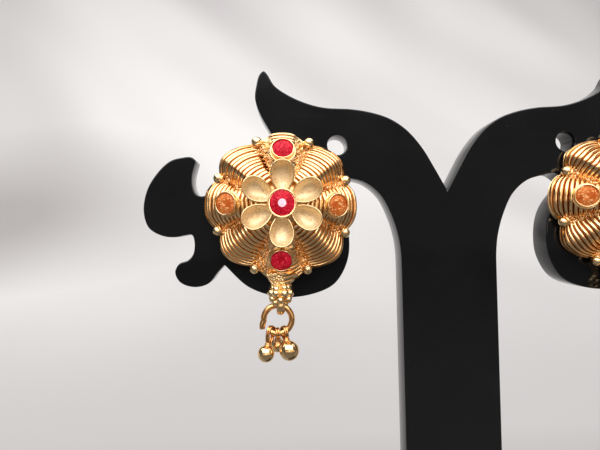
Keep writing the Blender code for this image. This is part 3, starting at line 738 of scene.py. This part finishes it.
def grained_share(across, lobe, length, end):
    """1 where the dome is grained and 0 where it is wound; end is where each ridge stops across its lobe."""
    beside = np.abs(across)
    grained = smooth_step(beside, end, end + RIDGE_FADE)
    # The top lobe's flanks and one flank of the bottom lobe are grained, and both lobes' inner parts.
    top, bottom = lobe == TOP_LOBE, lobe == BOTTOM_LOBE
    grained = np.where(top, np.maximum(grained, smooth_step(beside, *TOP_FLANK)), grained)
    grained = np.where(bottom, np.maximum(grained, smooth_step(-across, *BOTTOM_FLANK)), grained)
    return np.maximum(grained, smooth_step(INNER_GRAIN - length, 0.0, INNER_FADE) * (top | bottom))


def dome_shape(scatter):
    """The ridged shell with grainy grooves, its rim and its inside."""
    columns = LOBES * LOBE_STEPS
    turn = np.arange(columns) * math.tau / columns
    starts = np.arange(RIDGES_START, CREST_END, RIDGE_PITCH)
    ridge_rows = np.add.outer(starts, RIDGE_PHASES * RIDGE_PITCH).ravel()
    ridge_rows = ridge_rows[ridge_rows < CREST_END - LEAST_ROW]
    rows = np.concatenate([np.linspace(CAP_RADIUS, RIDGES_START, 6)[:-1], ridge_rows, [CREST_END]])
    around, wound = np.meshgrid(turn, rows)
    across = across_lobe(around)
    lobe = lobe_number(around)
    # A ridge runs straighter than the rim: its ends reach farther out on the flanks.
    middle = (RIDGES_START + RIM_LENGTH) / 2
    reach_out = np.clip(1 - ((wound - middle) / (CREST_END - middle)) ** 2, 0.0, 1.0)
    length = wound + RIDGE_BEND * groove_share(around) * reach_out

    # Each ridge has a height of its own on each lobe, and ends at its own place beside the groove.
    in_crown = wound < RIDGES_START
    phase = ((wound - RIDGES_START) / RIDGE_PITCH) % 1.0
    ridge = np.where(in_crown, CROWN_LIFT, np.sqrt(1 - RIDGE_STEEPNESS * (2 * phase - 1) ** 2))
    ragged = scatter.random((len(starts) + 2, LOBES))
    number = np.clip(((wound - RIDGES_START) / RIDGE_PITCH).astype(int) + 1, 0, len(starts) + 1)
    own = ragged[number, lobe]
    grained = grained_share(across, lobe, length, RIDGE_END + RIDGE_END_SPREAD * own)
    grain = scatter.random(length.shape)
    grain = (grain + np.roll(grain, 1, 0) + np.roll(grain, 1, 1) + np.roll(grain, (1, 1), (0, 1))) / 4
    # The ridges stand out more towards the rim, most of all on the two side lobes.
    growth = np.where((lobe == RIGHT_LOBE) | (lobe == LEFT_LOBE), SIDE_GROWTH, OTHER_GROWTH)
    height = RIDGE_HEIGHT * (1 + growth * smooth_step(length, GROWTH_START, GROWTH_END))
    height = height * (RIDGE_LOWEST + RIDGE_SPREAD * own)
    lift = height * ridge * (1 - grained) + grained * (grain - 0.5) * GRAIN_HEIGHT
    # Painted shade: darker in the gaps between ridges, under the flower, in the grain's low spots and inside
    # the shell.
    between = np.where(in_crown, INSIDE_SHADE, smooth_step(np.abs(2 * phase - 1), *RIDGE_SHADE_EDGES))
    hollow = between * (1 - grained) * RIDGE_SHADE + grained * (GRAIN_SHADE - GRAIN_CONTRAST * grain)

    radius = dome_line(np.interp(length, CREST_LENGTHS, CREST_ANGLES), 1.0)[0]
    # The pinholes are sunk and also painted near black as painted shade.
    pit = pinhole_gap(radius * np.cos(around), radius * np.sin(around)) < PINHOLE_RADIUS
    lift = np.where(pit, -PINHOLE_DEPTH, lift)
    hollow = np.where(pit, PINHOLE_MARK, hollow)
    rings = list(lobed_place(around, length, lift))
    inner_angles = np.linspace(math.pi / 2, 0.02, 12)
    for angle in inner_angles:
        radius, height = dome_line(angle, groove_share_at(turn, angle), SHELL_WALL)
        rings.append(circle(radius * lobe_size(turn), columns, height))
    verts, faces = loft(rings, caps=True)
    hollows = np.concatenate([hollow.ravel(), np.full(len(inner_angles) * columns, INSIDE_SHADE)])
    return Shape().add(verts, faces, hollows)


def grain_shape(scatter):
    """Granules in the grooves, and on the grained parts of the top and bottom lobes."""
    verts, faces = ball(1.0, 7, 5)
    shape = Shape()

    def strew(low, high, start, end, count, small, large, narrow=1.0):
        """Granules between two angles and two lengths, over a part of the angles at the inner end."""
        for _ in range(count):
            length = scatter.uniform(start, end)
            share = narrow + (1 - narrow) * (length - start) / (end - start)
            middle = (low + high) / 2
            at = math.radians(middle + (scatter.uniform(low, high) - middle) * share)
            radius = scatter.uniform(small, large)
            place = lobed_place(np.array(at), np.array(length), np.array(0.35 * radius))
            if pinhole_gap(place[0], place[1]) > PINHOLE_CLEARANCE:
                shape.add(verts * radius, faces, 0.0, move(*place))

    for groove in range(LOBES):
        middle = 360 * (groove + 0.5) / LOBES
        strew(middle - 5, middle + 5, 0.0040, RIM_LENGTH - 0.0006, 80, 0.00011, 0.00023, narrow=0.55)
        strew(middle - 5.5, middle + 5.5, RIM_LENGTH - 0.0022, RIM_LENGTH - 0.0003, 16, 0.00022, 0.00036)
    for low, high, start, end, count in (
        (68, 80, 0.0070, 0.0118, 60),
        (100, 112, 0.0070, 0.0118, 60),
        (250, 263, 0.0074, 0.0120, 70),
        (80, 100, 0.0052, 0.0066, 30),
        (256, 284, 0.0052, 0.0066, 30),
    ):
        strew(low, high, start, end, count, 0.00010, 0.00019)
    return shape


def rim_balls_shape():
    """A polished ball at the outer end of each groove, on a small collar."""
    shape = Shape()
    verts, faces = ball(RIM_BALL_RADIUS, 24, 14)
    collar = tube(circle(COLLAR_RADIUS, 24)[:, (2, 0, 1)], COLLAR_WIRE, 8)
    for i in range(LOBES):
        reach = DOME_RADIUS - VALLEY_DEPTH + RIM_BALL_OUT
        place = spin(360 * (i + 0.5) / LOBES) @ move(reach, 0, RIM_BALL_UP)
        shape.add(verts, faces, 0.0, place)
        # The collars under the balls get a little painted shade.
        shape.add(*collar, 0.25, place @ move(x=-COLLAR_BACK))
    return shape


def collet_profile(stone_radius, wall, edge, foot, waist):
    """A cup's section from its floor, up the inside, over a rounded lip and down to the foot."""
    inner = stone_radius + STONE_GAP
    lip = wall / 2
    rows = [(CAP_RADIUS, edge - COLLET_DEPTH), (inner, edge - COLLET_DEPTH), (inner, edge - lip)]
    for step in range(1, 7):
        turn = math.pi * (1 - step / 6)
        rows.append((inner + lip + lip * math.cos(turn), edge - lip + lip * math.sin(turn)))
    outer = inner + wall
    return rows + [(outer + waist, (edge + foot) / 2), (outer + 2 * waist, foot), (CAP_RADIUS, foot)]


def outer_place(degrees):
    """Turns what is modelled on the axis to the seat of an outer stone."""
    angle = math.asin(OUTER_REACH / DOME_RADIUS)
    height = float(dome_line(angle, 0.0)[1])
    radii, heights = dome_line(np.array([angle - 0.01, angle + 0.01]), 0.0)
    tilt = math.degrees(math.atan2(heights[0] - heights[1], radii[1] - radii[0]))
    return spin(degrees) @ move(OUTER_REACH, 0, height) @ spin(tilt, "Y")


def collets_shape():
    """The cups of the four outer stones, each with a fine wire round its foot."""
    shape = Shape()
    verts, faces = lathe(collet_profile(OUTER_RADIUS, COLLET_WALL, COLLET_RISE, COLLET_FOOT, 0.00002), 48)
    wire = tube(circle(FOOT_WIRE_REACH, 48, FOOT_WIRE_HEIGHT), FOOT_WIRE, 8)
    for _, degrees, _ in OUTER_STONES:
        place = outer_place(degrees)
        shape.add(verts, faces, 0.0, place)
        # The foot wires get a little painted shade.
        shape.add(*wire, 0.1, place)
    return shape


def petal_line(steps):
    """A petal's outline round its middle, in x and y from the flower's middle."""
    x, y, _ = circle(1.0, steps).T
    half_length = (PETAL_REACH - PETAL_ROOT) / 2
    return PETAL_ROOT + half_length * (1 + x), PETAL_WIDTH / 2 * y * (1 + PETAL_FLARE * x)


def petal_place(degrees):
    """Turns a petal to its place in the flower, with its tip raised."""
    raised = move(PETAL_HINGE, 0, PETAL_EDGE) @ spin(-PETAL_TILT, "Y") @ move(-PETAL_HINGE, 0, -PETAL_EDGE)
    return spin(degrees) @ raised


def petal_shape():
    """Six spoon-shaped cups."""
    shape = Shape()
    steps = 56
    x, y = petal_line(steps)

    def cup(shares, wall=0.0):
        return [(share, -PETAL_CUP * (1 - share**PETAL_CUP_POWER) - wall) for share in shares]

    edge = [(0.96, 0.0), (1.0, 0.0), (1.0, -PETAL_WALL)]
    rows = cup(PETAL_CUP_ROWS) + edge + cup(PETAL_UNDER_ROWS, PETAL_WALL)
    rings = []
    for share, drop in rows:
        out = PETAL_MIDDLE + (x - PETAL_MIDDLE) * share
        rings.append(np.stack([out, y * share, np.full(steps, PETAL_EDGE + drop)], axis=-1))
    verts, faces = loft(rings, caps=True)
    # Painted shade: each row is darker the deeper it lies in the cup.
    hollow = np.repeat([min(1.0, max(0.0, -drop / PETAL_CUP)) * PETAL_SHADE for _, drop in rows], steps)
    for degrees in PETAL_ANGLES:
        shape.add(verts, faces, hollow, petal_place(degrees))
    return shape


def lips_shape():
    """The thin polished wire round each petal's edge."""
    shape = Shape()
    x, y = petal_line(72)
    points = np.stack([x, y, np.full(72, PETAL_EDGE + 0.3 * LIP_RADIUS)], axis=-1)
    verts, faces = tube(points, LIP_RADIUS, 8)
    for degrees in PETAL_ANGLES:
        shape.add(verts, faces, 0.0, petal_place(degrees))
    return shape


def centre_shape():
    """The centre stone's cup on its boss."""
    foot = CROWN - 0.0003
    profile = collet_profile(CENTRE_RADIUS, CENTRE_WALL, CENTRE_EDGE, CENTRE_EDGE - 0.0009, -0.00003)[:-1]
    profile += [(CENTRE_RADIUS * 0.92, PETAL_EDGE - 0.0002), (CENTRE_RADIUS * 0.9, foot), (CAP_RADIUS, foot)]
    return Shape().add(*lathe(profile, 64))


def neck_half(share):
    """Half the neck's width, from its root at share 0 to the ball at 1."""
    return NECK_RADIUS + (NECK_ROOT_RADIUS - NECK_RADIUS) * (1 - share) ** 1.5


def cluster_shape(scatter):
    """The ridged neck, the granulated ball and its eye for the ring."""
    shape = Shape()
    middle = move(0, -CLUSTER_DROP, HANG_LIFT)
    upright = middle @ spin(-90, "X")
    root = CLUSTER_DROP - DOME_RADIUS + NECK_ROOT
    to_right = circle(1.0, NECK_STEPS)[:, 0]
    wound = smooth_step(to_right, -0.55, -0.05)
    rings, hollows = [], []
    for share in np.linspace(0.0, 1.0, NECK_ROWS):
        # The ridges rise to the right, and fade into grain at the left.
        phase = NECK_RIDGES * share + NECK_SLANT * to_right * neck_half(share) / NECK_ROOT_RADIUS
        ridge = np.sqrt(np.abs(np.sin(math.pi * phase)))
        ring = circle(neck_half(share) + NECK_SWELL * ridge * wound, NECK_STEPS, root * (1 - share))
        rings.append(ring * (1.0, NECK_DEPTH, 1.0))
        # Painted shade between the neck's ridges.
        hollows.append(0.1 + smooth_step(1 - ridge, 0.1, 0.6) * wound)
    verts, faces = loft(rings, caps=True)
    shape.add(verts, faces, np.concatenate(hollows), upright)
    verts, faces = ball(1.0, 7, 5)
    for _ in range(NECK_GRANULES):
        share = scatter.uniform(0.0, 0.95)
        side = scatter.uniform(-1.0, 0.5 * share)
        depth = NECK_DEPTH * neck_half(share) * math.sqrt(1 - side * side)
        place = upright @ move(neck_half(share) * side, -depth, root * (1 - share))
        shape.add(verts * scatter.uniform(0.00014, 0.00028), faces, 0.0, place)
    # The core ball under the granules is painted dark as painted shade.
    shape.add(*ball(CLUSTER_RADIUS, 24, 14), 0.9, middle)
    verts, faces = ball(1.0, 16, 10)
    reached = CLUSTER_RADIUS + GRANULE_LIFT
    for latitude, count, start, radius in CLUSTER_ROWS:
        for i in range(count):
            around = math.radians(start + 360 * i / count + scatter.uniform(-7, 7))
            rise = math.radians(latitude + scatter.uniform(-6, 6))
            reach, up = reached * math.cos(rise), reached * math.sin(rise)
            size = radius * scatter.uniform(0.82, 1.1)
            place = middle @ move(reach * math.cos(around), up, reach * math.sin(around))
            shape.add(verts * size, faces, 0.0, place)
    verts, faces = tube(circle(EYE_RADIUS, 28)[:, (2, 0, 1)], EYE_WIRE, 12)
    # The eye gets a little painted shade.
    shape.add(verts * (EYE_WIDTH, 1.0, 1.0), faces, 0.1, move(0, -RING_TOP, HANG_LIFT))
    return shape


# Stones, ring and drops


def gem_shape(radius, table_share, sides):
    """A round cut stone: table, stars, kites, upper facets, girdle and a short pavilion."""
    crown = GEM_CROWN * radius
    half = math.pi / sides
    verts = np.concatenate([
        circle(table_share * radius, sides, crown),
        circle((table_share + 1.0) / 2 * radius, sides, GEM_STARS * crown, half),
        circle(radius, 2 * sides, GEM_GIRDLE * radius),
        circle(radius, 2 * sides, -GEM_GIRDLE * radius),
        circle(0.5 * radius, sides, -GEM_DEPTH * radius, half),
    ])
    star, girdle, lower, floor = sides, 2 * sides, 4 * sides, 6 * sides
    faces = [list(range(sides)), [floor + i for i in range(sides)][::-1]]
    for i in range(sides):
        after = (i + 1) % sides
        before = (i - 1) % sides
        faces += [
            [i, star + i, after],
            [i, star + before, girdle + 2 * i, star + i],
            [star + i, girdle + 2 * i, girdle + 2 * i + 1],
            [star + i, girdle + 2 * i + 1, girdle + 2 * after],
            [lower + 2 * i, lower + 2 * i + 1, floor + i],
            [lower + 2 * i + 1, lower + 2 * after, floor + i],
            [lower + 2 * after, floor + after, floor + i],
        ]
    for i in range(2 * sides):
        after = (i + 1) % (2 * sides)
        faces.append([girdle + i, girdle + after, lower + after, lower + i])
    return Shape().add(verts, faces)


def ring_shape():
    """The open ring of thick wire with its first end bent out."""
    points = []
    for i in range(RING_STEPS + 1):
        turn = math.radians(RING_FIRST + (RING_LAST - RING_FIRST) * i / RING_STEPS)
        reach = RING_RADIUS + RING_SPREAD * max(0.0, 1 - i / RING_SPREAD_STEPS)
        points.append((reach * math.cos(turn), reach * math.sin(turn), 0.0))
    radii = [RING_WIRE] * (RING_STEPS + 1)
    radii[0] = radii[-1] = RING_TIP * RING_WIRE
    return Shape().add(*tube(points, radii, 20, closed=False))


def drop_shape(radius, drawn, twist):
    """A polished ball on two drawn-out wire eyes with a wound neck; the ball hangs down y."""
    shape = Shape()
    inner, outer = DROP_INNER + DROP_WIRE, DROP_EYE + drawn + DROP_WIRE
    reach = DROP_EYE + drawn + DROP_NECK + radius
    for side in (-1, 1):
        points = []
        for _, y, z in circle(inner, 40)[:, (2, 0, 1)]:
            if y < 0:
                z *= 1.0 - 0.25 * (y / inner) ** 2
                y *= outer / inner
            points.append((side * DROP_WIRE * 0.95, y, z))
        # The wire eyes get painted shade.
        shape.add(*tube(points, DROP_WIRE, 10), DROP_SHADE, spin(twist, "Y"))
    for lift, size in DROP_COLLARS:
        points = circle(size, 28, radius + lift - reach)[:, (0, 2, 1)]
        # The collars get painted shade.
        shape.add(*tube(points, DROP_COLLAR_WIRE, 8), 0.3)
    verts, faces = ball(radius, 40, 24)
    return shape.add(verts, faces, 0.0, move(0, -reach, 0) @ spin(90, "X"))


def post_shape():
    """The plain post: a pad inside the crown and a rod with a groove and a rounded tip."""
    rod, groove, pad = ROD_RADIUS, ROD_RADIUS * ROD_GROOVE, PAD_TOP - PAD_THICKNESS
    profile = [(CAP_RADIUS, PAD_TOP), (PAD_RADIUS, PAD_TOP), (PAD_RADIUS, pad), (rod, pad)]
    for reach, up in ((rod, 0.0011), (groove, 0.0010), (groove, 0.0007), (rod, 0.0006), (rod, ROD_TIP)):
        profile.append((reach, ROD_TAIL + up))
    for step in range(1, 5):
        turn = math.pi / 2 * step / 4.4
        profile.append((rod * math.cos(turn), ROD_TAIL + ROD_TIP * (1 - math.sin(turn))))
    return Shape().add(*lathe(profile, 28))


def add_earrings(look):
    """Both earrings; they share their meshes."""
    scatter = random.Random(7)
    grains = np.random.default_rng(7)
    body = {
        "dome": dome_shape(grains).mesh("dome", look["gold"], 70),
        "granules": grain_shape(scatter).mesh("granules", look["grain"]),
        "rim_balls": rim_balls_shape().mesh("rim_balls", look["rim"]),
        "collets": collets_shape().mesh("collets", look["rim"], 50),
        "petals": petal_shape().mesh("petals", look["petal"], 55),
        "lips": lips_shape().mesh("lips", look["rim"]),
        "centre_cup": centre_shape().mesh("centre_cup", look["rim"], 50),
        "cluster": cluster_shape(scatter).mesh("cluster", look["rim"], 60),
    }
    centre = gem_shape(CENTRE_RADIUS, 0.33, 14).mesh("centre_gem", look["red"], 2)
    # The table facet takes the painted reflection.
    centre.materials.append(look["table_reflection"])
    centre.polygons[0].material_index = 1
    gems = {}
    for tint in ("red", "amber"):
        gems[tint] = gem_shape(OUTER_RADIUS, 0.55, 10).mesh(tint + "_gem", look[tint], 2)
    ring = ring_shape().mesh("ring", look["ring_gold"], 50)
    post = post_shape().mesh("post", look["post_metal"], 40)
    balls = {}
    for letter, radius, drawn, *_, twist in DROPS:
        balls[letter] = drop_shape(radius, drawn, twist).mesh("drop_" + letter, look["drop_gold"])
    pieces = []

    def add(name, mesh, node, place):
        pieces.append(add_piece(f"{name}_{side}", mesh, [f"{node}_{side}"], place))

    for side, _, _, out, up, lean in SIDES:
        x, z = on_sheet(out, up)
        seat = move(x, -(SHEET / 2 + SEAT_GAP), z) @ spin(lean, "Y") @ spin(90, "X")
        for name, mesh in body.items():
            add(name, mesh, "ear_body", seat)
        add("pin", post, "ear_post", seat)
        add("gem_centre", centre, "stone_centre", seat @ move(z=CENTRE_EDGE - STONE_SINK))
        for name, degrees, tint in OUTER_STONES:
            place = seat @ outer_place(degrees) @ move(z=COLLET_RISE - STONE_SINK)
            add("gem_" + name, gems[tint], "stone_" + name, place)
        middle = seat @ move(RING_SHIFT, -RING_TOP - RING_RADIUS, HANG_LIFT)
        add("ring", ring, "jump_ring", middle)
        for letter, _, _, at, sideways, forward, _ in DROPS:
            turn = math.radians(at)
            hang = middle @ move(RING_RADIUS * math.cos(turn), RING_RADIUS * math.sin(turn), 0)
            hang = hang @ spin(sideways + lean) @ spin(-forward, "X")
            add(letter + "_ball", balls[letter], "drop_" + letter, hang)
    return pieces


# Stage, light and camera

STAGE_HALF = 2.6
STAGE_FRONT = -1.6
CURVE_START = 0.35
CURVE_RADIUS = 1.15
CURVE_STEPS = 32
WALL_TOP = 2.2
# Middle of the painted fold shade
FOLD_SHADE_PLACE = (-0.58, 0.86, 0.11)
# Area lights: name, place, what it faces, size, watts, colour, and what it lights if not everything
LIGHTS = (
    ("key", (-0.04, -0.265, 0.405), (-0.01, 0.0, 0.07), (0.80, 0.44), 3.35, DAYLIGHT, "pieces"),
    ("window", (-0.025, -0.30, 0.099), (-0.026, 0.0, 0.08), (0.035, 0.035), 0.02, DAYLIGHT, "pieces"),
    ("room", (0.3, -1.3, 0.9), (0.0, 0.0, 0.1), (2.0, 1.2), 4.8, (1.0, 0.82, 0.62), "earrings"),
    ("fill", (0.05, -0.45, 0.05), (-0.02, 0.0, 0.08), (1.2, 0.30), 0.85, (1.0, 0.75, 0.51), "earrings"),
    # One panel where the backdrop's curve has its centre lights the curve evenly.
    ("sky", (0.0, CURVE_START, CURVE_RADIUS), (0.0, 1.05, 0.22), (2.6, 0.90), 25.0, DAYLIGHT, None),
)
WORLD_STRENGTH = 0.13
CAMERA_LENS, CAMERA_SENSOR = 27.72, 36.0
CAMERA_RIGHT = (0.99893691, -0.0410812, -0.0209137)
CAMERA_UP = (0.02003767, -0.02162168, 0.9995654)
CAMERA_BACK = (-0.04151554, -0.99892184, -0.02077553)
CAMERA_PLACE = (-0.026105, -0.0730, 0.074607)


def paper_look():
    """Pale paper with painted light and shade of broad soft folds, one painted fold shade at the left, and
    painted shade darkening the floor in front.
    """
    made = Nodes("pale_floor")
    values = {"Vector": made.place(), "Rotation": (0.0, -0.8, 0.0), "Scale": (0.30, 1.2, 1.0)}
    slanted = made.add("ShaderNodeMapping", values, vector_type="TEXTURE").outputs[0]
    # The folds are painted light and shade; the paper itself is flat.
    painted_folds = made.noise(scale=1.0, detail=1.0, roughness=0.4, place=slanted)
    paper = made.blend(made.span(painted_folds, 0.30, 0.70), *FOLD_LIGHT_AND_SHADE_GREYS)
    # A painted fold shade at the left.
    from_fold = made.add("ShaderNodeVectorMath", {0: made.place(), 1: FOLD_SHADE_PLACE}, operation="DISTANCE")
    shade = made.span(from_fold.outputs["Value"], 0.08, 0.46, to_low=1.0, to_high=0.0)
    paper = made.blend(shade, paper, FOLD_PAINTED_SHADE)
    # Painted shade: the floor darkens in front.
    depth = made.add("ShaderNodeSeparateXYZ", {"Vector": made.place()}).outputs["Y"]
    made.link("Base Color", made.blend(made.span(depth, 0.10, -0.05), paper, FRONT_PAINTED_SHADE))
    made.set(Roughness=0.9)
    return made.material


def add_stage():
    """A pale floor that curves up far behind the stand."""
    profile = [(STAGE_FRONT, 0.0), (CURVE_START, 0.0)]
    for step in range(1, CURVE_STEPS + 1):
        turn = math.pi / 2 * step / CURVE_STEPS
        profile.append((CURVE_START + CURVE_RADIUS * math.sin(turn), CURVE_RADIUS * (1 - math.cos(turn))))
    profile.append((CURVE_START + CURVE_RADIUS, WALL_TOP))
    verts, faces = loft([[(-STAGE_HALF, y, z), (STAGE_HALF, y, z)] for y, z in profile], wrap=False)
    floor = put("floor", Shape().add(verts, faces).mesh("floor", paper_look()))


def add_lights(stand, earrings):
    """Soft boxes for the pieces, warmer ones for the earrings alone, and a panel for the backdrop."""
    world = bpy.data.worlds.new("room")
    world.use_nodes = True
    background = world.node_tree.nodes["Background"]
    background.inputs["Color"].default_value = WORLD_COLOUR
    background.inputs["Strength"].default_value = WORLD_STRENGTH
    bpy.context.scene.world = world
    lit = {}
    for group, pieces in (("pieces", stand + earrings), ("earrings", earrings)):
        lit[group] = bpy.data.collections.new("lit_" + group)
        for piece in pieces:
            lit[group].objects.link(piece)
    for name, place, target, size, power, colour, group in LIGHTS:
        data = bpy.data.lights.new(name, "AREA")
        data.shape = "RECTANGLE"
        data.size, data.size_y = size
        data.energy = power
        data.color = colour
        light = put(name, data)
        light.location = place
        light.rotation_euler = (Vector(target) - Vector(place)).to_track_quat("-Z", "Y").to_euler()
        if group:
            light.light_linking.receiver_collection = lit[group]


def add_camera():
    """The photo's camera, found from the sheet's outline."""
    data = bpy.data.cameras.new("camera")
    data.sensor_width = CAMERA_SENSOR
    data.lens = CAMERA_LENS
    data.clip_start = 0.005
    data.clip_end = 20.0
    camera = put("camera", data)
    rows = zip(CAMERA_RIGHT, CAMERA_UP, CAMERA_BACK, CAMERA_PLACE)
    camera.matrix_world = Matrix((*rows, (0.0, 0.0, 0.0, 1.0)))
    bpy.context.scene.camera = camera


bpy.context.scene.view_settings.view_transform = "Standard"
add_camera()
add_stage()
look = looks()
add_lights(add_stand(look), add_earrings(look))

bpy.context.view_layer.update()
